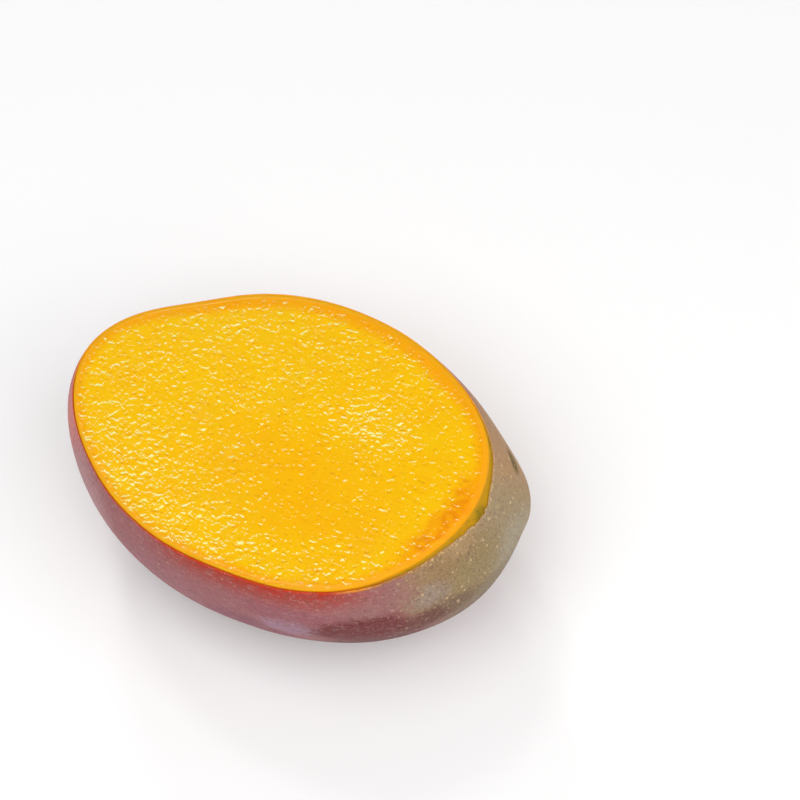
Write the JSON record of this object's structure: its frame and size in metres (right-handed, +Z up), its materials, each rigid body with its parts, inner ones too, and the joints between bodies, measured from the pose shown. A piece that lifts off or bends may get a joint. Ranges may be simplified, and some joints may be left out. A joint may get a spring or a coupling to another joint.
{
  "type": "mango with one cheek cut off",
  "caption": "Ripe mango lying on one cheek, its other cheek sliced off level to show wet yellow flesh inside a thin red and green skin.",
  "frame": {"origin": "middle of the small flat spot on the lower cheek, on which the fruit rests", "axes": "+Z up, square to the flat spot; +X along the fruit from its stalk end to its nose; the cut faces up"},
  "size_m": [0.1325, 0.0938, 0.0669],
  "materials": {
    "skin": "smooth mango skin, red at the stalk end and along the side, olive green at the nose, with a waxy bloom",
    "flesh": "wet cut mango flesh, saturated yellow with small glistening grains"
  },
  "bodies": {
    "root": {"mango": "skin"}
  },
  "joints": []
}
